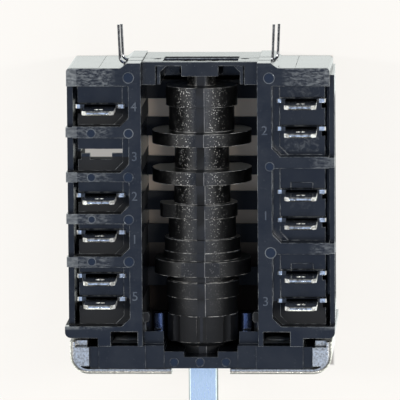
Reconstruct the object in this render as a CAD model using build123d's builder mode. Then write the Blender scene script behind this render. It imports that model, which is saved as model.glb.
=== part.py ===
"""Rotary cam selector switch of an oven, with tab terminals down both sides.

The origin is on the shaft's axis at the front plate's outer face. X runs across the switch,
Y along the shaft from the knob end to the rear end, Z from the back to the terminal tabs.
Lengths are in millimetres. A distance named reach is measured across, from the shaft's axis.
"""
import os
from math import cos, radians, sin

from build123d import *

os.makedirs("parts", exist_ok=True)

LEFT, RIGHT = -1, 1
SIDES = {"left": LEFT, "right": RIGHT}

# Contact banks, the two blocks that stand on either side of the camshaft
front_z = 10.5
back_z = -13.3
channel_reach = 11.6
inner_wall = 1.2
floor_reach = {LEFT: 24.5, RIGHT: 25.0}
groove_floor_z = -2.0
cover_inner_reach = {LEFT: 25.4, RIGHT: 25.9}
cover_wall = {LEFT: 1.2, RIGHT: 1.0}
cover_draft = 0.4
cover_return = 1.3
cover_tail = 1.9
seam_reach = {LEFT: 19.95, RIGHT: 19.2}
bank_end_y = 61.8
flange_top_y = 9.75
flange_step_y = 7.4
flange_lip = {LEFT: 0.6, RIGHT: 0.05}
flange_inner_reach = 20.6
fit_gap = 0.05
seat_gap = 0.3

# Wells that the push-on connectors enter, as low and high edges along Y
wells = {
    LEFT: [(9.75, 21.7), (23.9, 30.5), (32.5, 39.0), (40.8, 47.8), (50.1, 58.2)],
    RIGHT: [(9.75, 24.4), (26.7, 41.7), (44.0, 58.2)],
}
band_reach = {LEFT: 26.5, RIGHT: 26.05}
band_wall = 1.1
well_inner_reach = {LEFT: 14.1, RIGHT: 14.5}
well_ledge_reach = {LEFT: 15.55, RIGHT: 15.95}
well_ledge_depth = 3.5
well_floor_z = 6.5
floor_skin = 1.0
well_corner = 1.7
cover_front_z = 7.4
lug_lip = 0.1
lug_height = 2.0
shoulder_reach = 15.7
shoulder_slope = 1.4
shoulder_height = 1.0
flange_corner = 1.2
band_corner = 0.7
trough_reach = 18.1
trough_margin = 4.0
window_reach = (12.6, 18.0)
window_y = (5.75, 8.7)
window_back_z = -3.6
pocket_top_y = 9.4
spring_lug_length = 1.2
spring_lug_y = (10.3, 12.3)
spring_lug_z = (5.6, 8.0)
spring_lug_round = 0.5
panel_margin = 3.0
panel_corner = 1.5
panel_depth = 0.15

# Tab terminals, stamped from tinned brass sheet
terminal_y = {
    LEFT: [53.9, 44.7, 36.0, 28.5, 19.7, 15.0],
    RIGHT: [55.0, 49.4, 36.7, 31.0, 20.3, 14.7],
}
missing_terminals = [(LEFT, 2)]
open_floor_terminals = [(RIGHT, 3), (RIGHT, 5)]
sheet = 0.8
tab_width = 6.3
tab_reach = {LEFT: 19.9, RIGHT: 20.3}
tab_tip_z = 16.2
tab_joggle = 0.5
tab_lead = 1.0
tab_hole_radius = 0.9
joggle_rise = 1.3
tip_chamfer = 0.25
shoulder_width = 9.8
shoulder_rise = 1.05
shoulder_chamfer = 0.25
leg_width = 8.0
leg_step_z = 1.0
leg_stem_width = 2.4
foot_width = 3.6
cell_depth = 3.6
latch_slot_half = 2.2
latch_slot_depth = 1.65
latch_prong = 0.7

# Contact stations: a carrier bar behind each cam bridges a left and a right terminal
station_y = [55.3, 47.7, 39.7, 32.5, 25.8, 17.0]
carrier_width = 3.8
carrier_bar = 1.0
carrier_clear = 0.15
nose_width = 3.0
nose_length = 2.0
cam_gap = 0.3
contact_travel = 1.15
closed_gap = 0.05
bridge_sheet = 0.4
bridge_width = 2.0
bridge_reach = 17.2
contact_reach = 15.4
contact_size = 1.8
moving_tip = 0.7
fixed_tip = 0.5
spring_sheet = 0.25
spring_width = 2.0
spring_rise = 0.85
spring_reach = 13.6
carrier_reach = 13.9

# Camshaft
bore_gap = 0.02
shaft_radius = 3.0
shaft_across_flat = 4.6
shaft_front_y = -23.0
shaft_rear_y = 30.0
running_gap = 0.05
rear_journal_radius = 2.8
rear_journal_y = (57.4, 61.7)
front_journal_radius = 4.2
disc_radius = 10.0
index_disc_y = (19.5, 22.5)
index_flat_z = 8.9
shaft_chamfer = 0.4
detent_count = 8
detent_depth = 0.35
detent_y = (5.9, 11.2)
detent_radius = 7.2
last_position_deg = 315

# Detent rollers and their leaf springs
roller_radius = 1.5
roller_y = (5.85, 11.1)
roller_spring_sheet = 0.35
roller_spring_half = 5.2
post_wall = 1.2
post_reach = (8.3, 9.8)
post_top_y = 8.2
screen_reach = 7.6
screen_z = (5.5, 6.6)

# Front housing and front plate
plate_sheet = 1.1
plate_back_z = -11.5
plate_front_z = 10.4
wing_gap = 0.3
plate_bend = 3.8
wing_top_y = 6.6
plate_notch_radius = 5.9
claw_length = 3.9
claw_y = (1.7, 5.5)
claw_bend = 0.9
hook_length = 3.4
hook_z = (3.4, 8.0)
screw_spacing = 28.0
screw_thread_radius = 1.65
screw_clear_radius = 2.1
collar_radius = 2.5
collar_height = 1.2
housing_top_y = 5.75
housing_reach = 24.9
housing_front_z = 9.1
housing_block_front_z = 9.9
inner_block_front_z = 9.5
inner_block_reach = 11.1
housing_block_reach = (7.4, 20.5)
housing_centre_y = 4.5
housing_centre_front_z = 9.2
centre_notch_half = 3.4
centre_notch_depth = 1.1
core_depth = 6.0
bore_clear = 0.15
dome_reach = 15.3
dome_radius = 2.6
dome_rise = 0.25
dome_cap = 0.35

# Rear bridge and the two spring wires that hold it
bridge_top_y = 62.6
bridge_plate = 0.8
bridge_front_z = 6.2
bridge_back_z = -12.6
bridge_leg_inner_reach = 8.9
bridge_leg_y = 58.0
bridge_back_wall = 1.4
bridge_rib_reach = (8.0, 8.65)
bridge_rib_inset = 0.8
gusset_size = 1.3
tongue_half = 3.7
tongue_y = 59.7
bearing_wall = 1.6
recess_half = 7.5
recess_depth = 0.35
recess_z = (-4.0, 4.4)
oval_pitch = 2.8
oval_half_width = 0.8
oval_half_length = 2.2
oval_depth = 0.2
bridge_dimple_reach = 8.8
bridge_dimple_radius = 0.85
wire_radius = 0.27
wire_sides = 8
wire_y = 62.35
wire_bend = 1.0
wire_lean = 0.3

# Each wire's height, the Y of its ends, and how far out it turns up on each side
wires = {
    "front": {"z": 4.9, "top_y": 70.0, "reach": {LEFT: 16.0, RIGHT: 14.5}},
    "rear": {"z": -1.0, "top_y": 69.5, "reach": {LEFT: 15.8, RIGHT: 15.3}},
}

# Sizes that follow from the ones above
cover_reach = {side: cover_inner_reach[side] + cover_wall[side] for side in SIDES.values()}
flange_reach = {side: cover_reach[side] + flange_lip[side] for side in SIDES.values()}
lug_reach = {side: cover_reach[side] + lug_lip for side in SIDES.values()}
plate_reach = housing_reach + wing_gap + plate_sheet
well_ledge_z = front_z - well_ledge_depth
shoulder_z = (well_ledge_z + fit_gap, well_ledge_z + fit_gap + shoulder_rise)
housing_ledge_y = wing_top_y - plate_sheet - fit_gap
roller_rest_reach = detent_radius + roller_radius + running_gap
slot_half = sheet / 2 + fit_gap
carrier_top_z = -(disc_radius + cam_gap)
bridge_top_z = carrier_top_z - carrier_bar
bridge_bottom_z = bridge_top_z - bridge_sheet
moving_tip_z = bridge_top_z + moving_tip
fixed_tip_z = moving_tip_z + contact_travel + closed_gap
foot_bottom_z = fixed_tip_z + fixed_tip
foot_top_z = foot_bottom_z + sheet
trough_z = (bridge_bottom_z - seat_gap, foot_top_z + seat_gap)
spring_foot_z = bridge_bottom_z - fit_gap - spring_rise
carrier_slot_z = (spring_foot_z, carrier_top_z + contact_travel + seat_gap)

# Plain steps of the camshaft as low Y, high Y and radius
camshaft_steps = [
    (plate_sheet + seat_gap, housing_centre_y + seat_gap, front_journal_radius),
    (detent_y[1], 14.8, 7.0),
    (14.8, 18.0, 5.8),
    (18.0, 19.5, 6.5),
    (22.5, 24.1, 7.8),
    (24.1, 26.7, 6.1),
    (26.7, 30.9, 6.8),
    (30.9, 38.1, 5.7),
    (38.1, 45.8, 5.5),
    (45.8, 53.4, 6.6),
    (53.4, 57.4, 5.6),
    (rear_journal_y[0], rear_journal_y[1], rear_journal_radius),
]

# Cams in the stations' order. Arcs are radius, start and end angle from the back, turning left.
# Every cam has its low arc at the back at rest, where its carrier can rise.
cams = [
    {"y": (53.4, 57.4), "arcs": [(5.6, -32, 68), (7.2, 76, 320)]},
    {"y": (45.8, 48.4), "arcs": [(8.4, -42, 42), (10.0, 48, 312)]},
    {"y": (38.1, 40.8), "arcs": [(8.4, -42, 55), (10.0, 61, 312)]},
    {"y": (30.9, 33.7), "arcs": [(5.7, -34, 65), (8.5, 80, 114), (7.1, 134, 318)]},
    {"y": (24.1, 26.7), "arcs": [(6.1, -36, 60), (7.6, 68, 316)]},
    {"y": (14.8, 18.0), "arcs": [(5.8, -50, 50), (7.3, 58, 302)]},
]


def section(y):
    """A plane across the shaft at y. Its second axis points to the back of the switch."""
    return Plane(origin=(0, y, 0), x_dir=(1, 0, 0), z_dir=(0, 1, 0))


def block(side, reach, y_limits, z_limits, mode=Mode.ADD):
    """Add or cut a rectangular block on one side, between the given limits."""
    middle = (
        side * sum(reach) / 2,
        sum(y_limits) / 2,
        sum(z_limits) / 2,
    )
    with Locations(middle):
        Box(reach[1] - reach[0], y_limits[1] - y_limits[0], z_limits[1] - z_limits[0], mode=mode)


def around(middle, half):
    """The two limits that lie half above and below the middle."""
    return middle - half, middle + half


def save(part, name):
    """Name a finished piece and write it."""
    part.label = name
    export_step(part, f"parts/{name}.step")


# Contact banks


def outline_on(z, side, corners):
    """A closed outline at height z from corners given as distances across and Y."""
    with BuildSketch(Plane.XY.offset(z)) as outline:
        with BuildLine():
            Polyline([(side * reach, y) for reach, y in corners], close=True)
        make_face()
    return outline.sketch


def bank_outline(side):
    """The bank's outline seen from the terminal side, with its flange at the front end."""
    well_end_y = wells[side][-1][1]
    core_reach = cover_inner_reach[side] - fit_gap
    corners = [
        (channel_reach, housing_top_y),
        (flange_inner_reach, housing_top_y),
        (flange_inner_reach, flange_step_y),
        (flange_reach[side], flange_step_y),
        (flange_reach[side], flange_top_y),
        (core_reach, flange_top_y),
        (core_reach, well_end_y),
        (band_reach[side], well_end_y),
        (band_reach[side], bank_end_y),
        (shoulder_reach, bank_end_y),
        (shoulder_reach - shoulder_slope, bank_end_y + shoulder_height),
        (channel_reach, bank_end_y + shoulder_height),
    ]
    with BuildSketch(Plane.XY.offset(back_z)) as outline:
        add(outline_on(back_z, side, corners))
        for corner, radius in (
            ((side * flange_reach[side], flange_step_y), flange_corner),
            ((side * band_reach[side], bank_end_y), band_corner),
        ):
            fillet(outline.vertices().sort_by_distance(corner)[0], radius)
    return outline.sketch


def well_outline(side, well, inner_reach, outer_reach):
    """One well's outline with its inner front corner cut off."""
    low, high = well
    corners = [
        (inner_reach, high),
        (inner_reach, low + well_corner),
        (inner_reach + well_corner, low),
        (outer_reach, low),
        (outer_reach, high),
    ]
    return outline_on(front_z, side, corners)


def contact_bank(side):
    """One moulded bank with its wells, terminal cells, contact trough and carrier slots."""
    partitions = [(low[1], high[0]) for low, high in zip(wells[side][:-1], wells[side][1:])]
    well_end_y = wells[side][-1][1]
    open_reach = cover_inner_reach[side]
    with BuildPart() as bank:
        extrude(bank_outline(side), amount=front_z - back_z)
        for low, high in wells[side]:
            extrude(
                well_outline(side, (low, high), well_inner_reach[side], open_reach),
                amount=-well_ledge_depth,
                mode=Mode.SUBTRACT,
            )
            extrude(
                well_outline(side, (low, high), well_ledge_reach[side], open_reach),
                amount=-(front_z - well_floor_z),
                mode=Mode.SUBTRACT,
            )
            # The deep groove between the well floor and the side cover
            block(
                side,
                (floor_reach[side], open_reach),
                (low, high),
                (groove_floor_z, front_z),
                Mode.SUBTRACT,
            )
        # Lugs on the partitions' ends, which hook over the side cover's edge
        for low, high in partitions:
            block(
                side,
                (floor_reach[side], lug_reach[side]),
                around((low + high) / 2, lug_height / 2),
                (cover_front_z + fit_gap, front_z),
            )
        # The trough that the contacts work in, and the slots that guide the carriers
        block(
            side,
            (channel_reach + inner_wall, trough_reach),
            (station_y[-1] - trough_margin, station_y[0] + trough_margin / 2),
            trough_z,
            Mode.SUBTRACT,
        )
        for y in station_y:
            block(
                side,
                (channel_reach - 1, channel_reach + inner_wall + 1),
                around(y, carrier_width / 2 + carrier_clear),
                carrier_slot_z,
                Mode.SUBTRACT,
            )
        # A terminal's cell is cored out from the back and opens through the well floor
        cell_reach = (well_ledge_reach[side], floor_reach[side] + fit_gap)
        skin_z = (well_floor_z - 2 * floor_skin, well_floor_z + floor_skin / 2)
        for number, y in enumerate(terminal_y[side], 1):
            block(
                side,
                cell_reach,
                (y - cell_depth, y + slot_half),
                (back_z - 1, well_floor_z - floor_skin),
                Mode.SUBTRACT,
            )
            block(side, cell_reach, around(y, slot_half), skin_z, Mode.SUBTRACT)
            for latch_reach in (
                around(tab_reach[side], latch_slot_half),
                (cell_reach[1] - latch_prong, cell_reach[1]),
            ):
                block(side, latch_reach, (y - latch_slot_depth, y), skin_z, Mode.SUBTRACT)
            if (side, number) in open_floor_terminals:
                block(
                    side,
                    around(tab_reach[side], latch_slot_half),
                    (y, y + latch_slot_depth),
                    (well_floor_z - floor_skin / 2, well_floor_z + floor_skin / 2),
                    Mode.SUBTRACT,
                )
        # Recess for the side cover, behind the front skin and across the rear end
        recess_z = (back_z - 1, front_z - cover_return)
        block(
            side,
            (band_reach[side] - band_wall - fit_gap, flange_reach[side] + 1),
            (well_end_y, bank_end_y + 1),
            recess_z,
            Mode.SUBTRACT,
        )
        block(
            side,
            (seam_reach[side], flange_reach[side] + 1),
            (bank_end_y - cover_return - fit_gap, bank_end_y + 1),
            recess_z,
            Mode.SUBTRACT,
        )
        # Screw window in the flange, and the pocket that takes the housing's screw dome
        block(side, window_reach, window_y, (window_back_z, front_z + 1), Mode.SUBTRACT)
        block(
            side,
            around(dome_reach, dome_radius + seat_gap),
            (housing_top_y - 1, pocket_top_y),
            (back_z - 1, dome_radius + seat_gap),
            Mode.SUBTRACT,
        )
        # Rounded lug on the channel wall beside the detent spring
        with BuildSketch(Plane.XY.offset(spring_lug_z[0])):
            with Locations((side * channel_reach, sum(spring_lug_y) / 2)):
                RectangleRounded(2 * spring_lug_length, spring_lug_y[1] - spring_lug_y[0], spring_lug_round)
        extrude(amount=spring_lug_z[1] - spring_lug_z[0])
        # Grooves for the retaining wires across the raised shoulder
        for wire in wires.values():
            block(
                side,
                (channel_reach - 1, wire["reach"][side] + wire_radius + fit_gap),
                (wire_y - wire_radius - fit_gap, bank_end_y + 2),
                around(wire["z"], wire_radius + fit_gap),
                Mode.SUBTRACT,
            )
    return bank.part


def side_cover(side):
    """The cover that closes the bank's outer side and turns over its rear end."""
    well_end_y = wells[side][-1][1]
    return_z = (back_z, front_z - cover_return - fit_gap)
    wall_y = (flange_top_y + fit_gap, well_end_y + cover_tail)
    wall_corners = [
        (side * cover_inner_reach[side], back_z),
        (side * (cover_reach[side] - cover_draft), back_z),
        (side * cover_reach[side], cover_front_z),
        (side * cover_inner_reach[side], cover_front_z),
    ]
    with BuildPart() as cover:
        with BuildSketch(Plane.XZ.offset(-wall_y[0])):
            with BuildLine():
                Polyline(wall_corners, close=True)
            make_face()
        extrude(amount=wall_y[0] - wall_y[1])
        block(
            side,
            (band_reach[side] - band_wall, band_reach[side]),
            (well_end_y + fit_gap, bank_end_y),
            return_z,
        )
        block(
            side,
            (seam_reach[side] + fit_gap, band_reach[side]),
            (bank_end_y - cover_return, bank_end_y),
            return_z,
        )
        corner = (side * band_reach[side], bank_end_y, sum(return_z) / 2)
        fillet(cover.edges().filter_by(Axis.Z).sort_by_distance(corner)[0], band_corner)
        # Shallow panel sunk into the sloping outer face
        face_middle = (
            side * (cover_reach[side] - cover_draft / 2),
            (flange_top_y + well_end_y) / 2,
            (back_z + cover_front_z) / 2,
        )
        face_slope = (side * (cover_front_z - back_z), 0, -cover_draft)
        with BuildSketch(Plane(origin=face_middle, x_dir=(0, 1, 0), z_dir=face_slope)):
            RectangleRounded(
                well_end_y - flange_top_y - 2 * panel_margin,
                cover_front_z - back_z - 2 * panel_margin,
                panel_corner,
            )
        extrude(amount=-panel_depth, mode=Mode.SUBTRACT)
    return cover.part


for side_name, side in SIDES.items():
    save(contact_bank(side), f"{side_name}_contact_bank")
    save(side_cover(side), f"{side_name}_side_cover")


# Terminals and contacts


def terminal(side, y, station):
    """A tab terminal whose leg drops through the bank and turns along it to its contact."""
    half_tab = tab_width / 2
    half_shoulder = shoulder_width / 2
    half_leg = leg_width / 2
    shoulder_low_z, shoulder_high_z = shoulder_z
    front_outline = [
        (-half_leg, foot_bottom_z),
        (-half_leg, shoulder_low_z),
        (-half_shoulder, shoulder_low_z),
        (-half_shoulder, shoulder_high_z),
        (-half_tab, shoulder_high_z),
        (-half_tab, tab_tip_z - tab_lead),
        (-half_tab + tab_lead, tab_tip_z),
        (half_tab - tab_lead, tab_tip_z),
        (half_tab, tab_tip_z - tab_lead),
        (half_tab, shoulder_high_z),
        (half_shoulder, shoulder_high_z),
        (half_shoulder, shoulder_low_z),
        (half_leg, shoulder_low_z),
        (half_leg, leg_step_z),
        (leg_stem_width - half_leg, leg_step_z),
        (leg_stem_width - half_leg, foot_bottom_z),
    ]
    half = sheet / 2
    side_outline = [
        (y - half, foot_bottom_z),
        (y + half, foot_bottom_z),
        (y + half, shoulder_high_z),
        (y + half - tab_joggle, shoulder_high_z + joggle_rise),
        (y + half - tab_joggle, tab_tip_z - tip_chamfer),
        (y + half - tab_joggle - tip_chamfer, tab_tip_z),
        (y - half - tab_joggle + tip_chamfer, tab_tip_z),
        (y - half - tab_joggle, tab_tip_z - tip_chamfer),
        (y - half - tab_joggle, shoulder_high_z + joggle_rise),
        (y - half, shoulder_high_z),
    ]
    with BuildPart() as tab:
        with BuildSketch(Plane.YZ.offset(side * tab_reach[side])):
            with BuildLine():
                Polyline(side_outline, close=True)
            make_face()
        extrude(amount=half_shoulder, both=True)
        with BuildSketch(Plane.XZ.offset(-y)) as front:
            with BuildLine():
                corners = [(side * (tab_reach[side] + across), z) for across, z in front_outline]
                Polyline(corners, close=True)
            make_face()
            shoulder_ends = front.vertices().filter_by(
                lambda corner: abs(abs(corner.X) - tab_reach[side]) > half_leg + fit_gap
            )
            chamfer(shoulder_ends, shoulder_chamfer)
        extrude(amount=2 * sheet, both=True, mode=Mode.INTERSECT)
        hole_z = (shoulder_high_z + joggle_rise + tab_tip_z) / 2
        with BuildSketch(Plane.XZ.offset(-y)):
            with Locations((side * tab_reach[side], hole_z)):
                Circle(tab_hole_radius)
        extrude(amount=2 * sheet, both=True, mode=Mode.SUBTRACT)
        block(
            side,
            around(contact_reach, foot_width / 2),
            (
                min(y - half, station - contact_size / 2 - seat_gap),
                max(y + half, station + contact_size / 2 + seat_gap),
            ),
            (foot_bottom_z, foot_top_z),
        )
    return tab.part


def contact_tips(points, z_limits):
    """Silver tips standing between two heights at the given points."""
    with BuildPart() as tips:
        with BuildSketch(Plane.XY.offset(z_limits[0])):
            with Locations(points):
                Rectangle(contact_size, contact_size)
        extrude(amount=z_limits[1] - z_limits[0])
    return tips.part


for side_name, side in SIDES.items():
    fixed_points = []
    for number, (y, station) in enumerate(zip(terminal_y[side], station_y), 1):
        if (side, number) in missing_terminals:
            continue
        save(terminal(side, y, station), f"{side_name}_terminal_{number}")
        fixed_points.append((side * contact_reach, station))
    save(contact_tips(fixed_points, (fixed_tip_z, foot_bottom_z)), f"{side_name}_fixed_contact_tips")


def contact_carrier(y, cam_middle_y, cam_radius):
    """A bar across the channel whose nose stands just behind its cam."""
    with BuildPart() as carrier:
        block(
            RIGHT,
            (-carrier_reach, carrier_reach),
            around(y, carrier_width / 2),
            (bridge_top_z, carrier_top_z),
        )
        nose_z = -(cam_radius + cam_gap)
        if nose_z > carrier_top_z:
            block(
                RIGHT,
                (-nose_width / 2, nose_width / 2),
                around(cam_middle_y, nose_length / 2),
                (carrier_top_z, nose_z),
            )
    return carrier.part


def contact_bridge(y):
    """The copper strip under a carrier."""
    with BuildPart() as bridge:
        block(
            RIGHT,
            (-bridge_reach, bridge_reach),
            around(y, bridge_width / 2),
            (bridge_bottom_z, bridge_top_z),
        )
    return bridge.part


def carrier_spring(y):
    """A bowed leaf spring that stands on the banks' slots and lifts its carrier."""
    foot_z = spring_foot_z
    crown_z = spring_foot_z + spring_rise
    with BuildPart() as spring:
        with BuildSketch(Plane.XZ.offset(-y)):
            with BuildLine():
                top = ThreePointArc(
                    (-spring_reach, foot_z + spring_sheet),
                    (0, crown_z),
                    (spring_reach, foot_z + spring_sheet),
                )
                bottom = ThreePointArc(
                    (-spring_reach, foot_z),
                    (0, crown_z - spring_sheet),
                    (spring_reach, foot_z),
                )
                Line(top @ 0, bottom @ 0)
                Line(top @ 1, bottom @ 1)
            make_face()
        extrude(amount=spring_width / 2, both=True)
    return spring.part


for number, (y, cam) in enumerate(zip(station_y, cams), 1):
    full_radius = max(radius for radius, start, end in cam["arcs"])
    save(contact_carrier(y, sum(cam["y"]) / 2, full_radius), f"contact_carrier_{number}")
    save(contact_bridge(y), f"contact_bridge_{number}")
    moving_points = [(side * contact_reach, y) for side in SIDES.values()]
    save(contact_tips(moving_points, (bridge_top_z, moving_tip_z)), f"moving_contact_tips_{number}")
    save(carrier_spring(y), f"carrier_spring_{number}")


# Camshaft and shaft


def point_at(radius, angle):
    """The point of a cam outline at an angle from the back, turning towards the left bank."""
    turn = radians(90 + angle)
    return radius * cos(turn), radius * sin(turn)


def cam_outline(y, arcs):
    """A cam's outline from arcs given as radius, start and end angle, joined by flanks."""
    with BuildSketch(section(y)) as outline:
        with BuildLine():
            for arc, following in zip(arcs, arcs[1:] + arcs[:1]):
                radius, start, end = arc
                CenterArc((0, 0), radius, 90 + start, end - start)
                Line(point_at(radius, end), point_at(following[0], following[1]))
        make_face()
    return outline.sketch


def shaft_outline(y, gap):
    """The shaft's round outline with its flat towards the terminals."""
    flat = shaft_across_flat - shaft_radius + gap
    with BuildSketch(section(y)) as outline:
        Circle(shaft_radius + gap)
        with Locations((0, -flat - shaft_radius)):
            Rectangle(3 * shaft_radius, 2 * shaft_radius, mode=Mode.SUBTRACT)
    return outline.sketch


with BuildPart() as camshaft:
    for low, high, radius in camshaft_steps:
        with BuildSketch(section(low)):
            Circle(radius)
        extrude(amount=high - low)
    for cam in cams:
        low, high = cam["y"]
        extrude(cam_outline(low, cam["arcs"]), amount=high - low)
    # The index disc has a flat that faces the terminals at rest
    low, high = index_disc_y
    with BuildSketch(section(low)):
        Circle(disc_radius - seat_gap)
        with Locations((0, -index_flat_z - disc_radius)):
            Rectangle(3 * disc_radius, 2 * disc_radius, mode=Mode.SUBTRACT)
    extrude(amount=high - low)
    # The detent star, and the taper down to the front journal
    low, high = detent_y
    with BuildSketch(section(low)):
        Circle(detent_radius)
        with PolarLocations(detent_radius + roller_radius + running_gap - detent_depth, detent_count):
            Circle(roller_radius + 2 * running_gap, mode=Mode.SUBTRACT)
    extrude(amount=high - low)
    with BuildSketch(section(low)):
        Circle(detent_radius - detent_depth - 2 * running_gap)
    with BuildSketch(section(housing_centre_y + seat_gap)):
        Circle(front_journal_radius)
    loft()
    bore_length = shaft_rear_y + bore_gap - plate_sheet
    extrude(shaft_outline(plate_sheet, bore_gap), amount=bore_length, mode=Mode.SUBTRACT)
save(camshaft.part, "camshaft")

with BuildPart() as shaft:
    extrude(shaft_outline(shaft_front_y, 0), amount=shaft_rear_y - shaft_front_y)
    chamfer(shaft.faces().sort_by(Axis.Y)[0].edges(), shaft_chamfer)
save(shaft.part, "shaft")


# Detent rollers and their leaf springs

for side_name, side in SIDES.items():
    with BuildPart() as roller:
        with BuildSketch(section(roller_y[0])):
            with Locations((side * roller_rest_reach, 0)):
                Circle(roller_radius)
        extrude(amount=roller_y[1] - roller_y[0])
    save(roller.part, f"{side_name}_detent_roller")

    crown_reach = roller_rest_reach + roller_radius + fit_gap
    end_reach = channel_reach - fit_gap - roller_spring_sheet
    with BuildPart() as detent_spring:
        with BuildSketch(section(housing_top_y + fit_gap)):
            with BuildLine():
                inner = ThreePointArc(
                    (side * end_reach, -roller_spring_half),
                    (side * crown_reach, 0),
                    (side * end_reach, roller_spring_half),
                )
                outer = ThreePointArc(
                    (side * (end_reach + roller_spring_sheet), -roller_spring_half),
                    (side * (crown_reach + roller_spring_sheet), 0),
                    (side * (end_reach + roller_spring_sheet), roller_spring_half),
                )
                Line(inner @ 0, outer @ 0)
                Line(inner @ 1, outer @ 1)
            make_face()
        extrude(amount=roller_y[1] - housing_top_y)
    save(detent_spring.part, f"{side_name}_detent_spring")


# Front housing

with BuildPart() as front_housing:
    for side in SIDES.values():
        block(
            side,
            (housing_block_reach[1] - 1, housing_reach),
            (plate_sheet, housing_ledge_y),
            (plate_back_z, housing_front_z),
        )
        block(
            side,
            (inner_block_reach, housing_block_reach[1]),
            (plate_sheet, housing_top_y),
            (plate_back_z, housing_block_front_z),
        )
        block(
            side,
            (housing_block_reach[0], inner_block_reach),
            (plate_sheet, housing_top_y),
            (plate_back_z, inner_block_front_z),
        )
    block(
        RIGHT,
        (-housing_block_reach[0], housing_block_reach[0]),
        (plate_sheet, housing_centre_y),
        (plate_back_z, housing_centre_front_z),
    )
    low_edges = front_housing.edges().filter_by(Axis.Z).group_by(Axis.Y)[0]
    chamfer(low_edges.filter_by(lambda edge: abs(edge.center().X) > flange_inner_reach), plate_bend - 1)
    for side in SIDES.values():
        # Screw dome with a bulged top
        dome_axis_x = side * dome_reach
        dome_rim_x = side * (dome_reach + dome_radius)
        dome_rim_y = housing_top_y + dome_rise
        dome_crown_y = dome_rim_y + dome_cap
        dome_foot_y = housing_top_y - 1
        with BuildSketch(Plane.XY):
            with BuildLine():
                Polyline(
                    (dome_axis_x, dome_crown_y),
                    (dome_axis_x, dome_foot_y),
                    (dome_rim_x, dome_foot_y),
                    (dome_rim_x, dome_rim_y),
                )
                TangentArc((dome_axis_x, dome_crown_y), (dome_rim_x, dome_rim_y), tangent=(side, 0))
            make_face()
        revolve(axis=Axis((dome_axis_x, 0, 0), (0, 1, 0)))
        # Fork posts that guide a detent roller, and the screen in front of roller and spring
        fork_inner = roller_radius + running_gap
        for z_limits in ((fork_inner, fork_inner + post_wall), (-fork_inner - post_wall, -fork_inner)):
            block(side, post_reach, (housing_top_y - 1, post_top_y), z_limits)
        block(side, (screen_reach, channel_reach - fit_gap), (housing_top_y - 1, post_top_y), screen_z)
        # Room for the plate's threaded collar and the screw's end
        for radius, depth_y in (
            (collar_radius + bore_clear, plate_sheet + collar_height + bore_clear),
            (screw_clear_radius, housing_top_y - seat_gap),
        ):
            with BuildSketch(section(plate_sheet)):
                with Locations((side * screw_spacing / 2, 0)):
                    Circle(radius)
            extrude(amount=depth_y - plate_sheet, mode=Mode.SUBTRACT)
        # Pocket cored out from the back
        block(
            side,
            (housing_block_reach[0] + post_wall, housing_block_reach[1] - post_wall),
            (plate_sheet + post_wall, housing_top_y - post_wall),
            (plate_back_z - 1, plate_back_z + core_depth),
            Mode.SUBTRACT,
        )
    # Bearing for the camshaft and the notch in front of it
    with BuildSketch(section(plate_sheet)):
        Circle(front_journal_radius + running_gap)
    extrude(amount=housing_top_y, mode=Mode.SUBTRACT)
    block(
        RIGHT,
        (-centre_notch_half, centre_notch_half),
        (housing_centre_y - centre_notch_depth, housing_centre_y + 1),
        (0, housing_block_front_z + 1),
        Mode.SUBTRACT,
    )
save(front_housing.part, "front_housing")


# Front plate

with BuildPart() as front_plate:
    with BuildSketch(Plane.XY.offset(plate_back_z)) as folded:
        with Locations((0, wing_top_y / 2)):
            Rectangle(2 * plate_reach, wing_top_y)
        fillet(folded.vertices().group_by(Axis.Y)[0], plate_bend)
        with BuildSketch(mode=Mode.SUBTRACT) as inside:
            with Locations((0, plate_sheet + wing_top_y / 2)):
                Rectangle(2 * (plate_reach - plate_sheet), wing_top_y)
            fillet(inside.vertices().group_by(Axis.Y)[0], plate_bend - plate_sheet)
    extrude(amount=plate_front_z - plate_back_z)
    for side in SIDES.values():
        # Claw bent in across the housing's front
        with BuildSketch(Plane.XY.offset(plate_front_z)) as claw:
            with Locations((0, wing_top_y / 2)):
                Rectangle(2 * plate_reach, wing_top_y)
            fillet(claw.vertices().group_by(Axis.Y)[0], plate_bend)
            with Locations((side * (plate_reach - claw_length / 2), sum(claw_y) / 2)):
                Rectangle(claw_length, claw_y[1] - claw_y[0], mode=Mode.INTERSECT)
        extrude(amount=-plate_sheet)
        # Hook bent in over the housing's ledge
        block(
            side,
            (plate_reach - hook_length, plate_reach),
            (wing_top_y - plate_sheet, wing_top_y),
            hook_z,
        )
    wing_corners = front_plate.edges().filter_by(Axis.Y).filter_by(
        lambda edge: abs(edge.center().X) > plate_reach - fit_gap
    )
    fillet(wing_corners.group_by(Axis.Z)[-1], claw_bend)
    for side in SIDES.values():
        # Threaded collar drawn up from the sheet
        with BuildSketch(section(0)):
            with Locations((side * screw_spacing / 2, 0)):
                Circle(collar_radius)
        extrude(amount=plate_sheet + collar_height)
        with BuildSketch(section(0)):
            with Locations((side * screw_spacing / 2, 0)):
                Circle(screw_thread_radius)
        extrude(amount=plate_sheet + collar_height, mode=Mode.SUBTRACT)
    # Notch round the shaft, open towards the terminals
    with BuildSketch(section(0)):
        Circle(plate_notch_radius)
        with Locations((0, -plate_front_z)):
            Rectangle(2 * plate_notch_radius, 2 * plate_front_z)
    extrude(amount=plate_sheet, mode=Mode.SUBTRACT)
save(front_plate.part, "front_plate")


# Rear bridge and retaining wires

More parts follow.
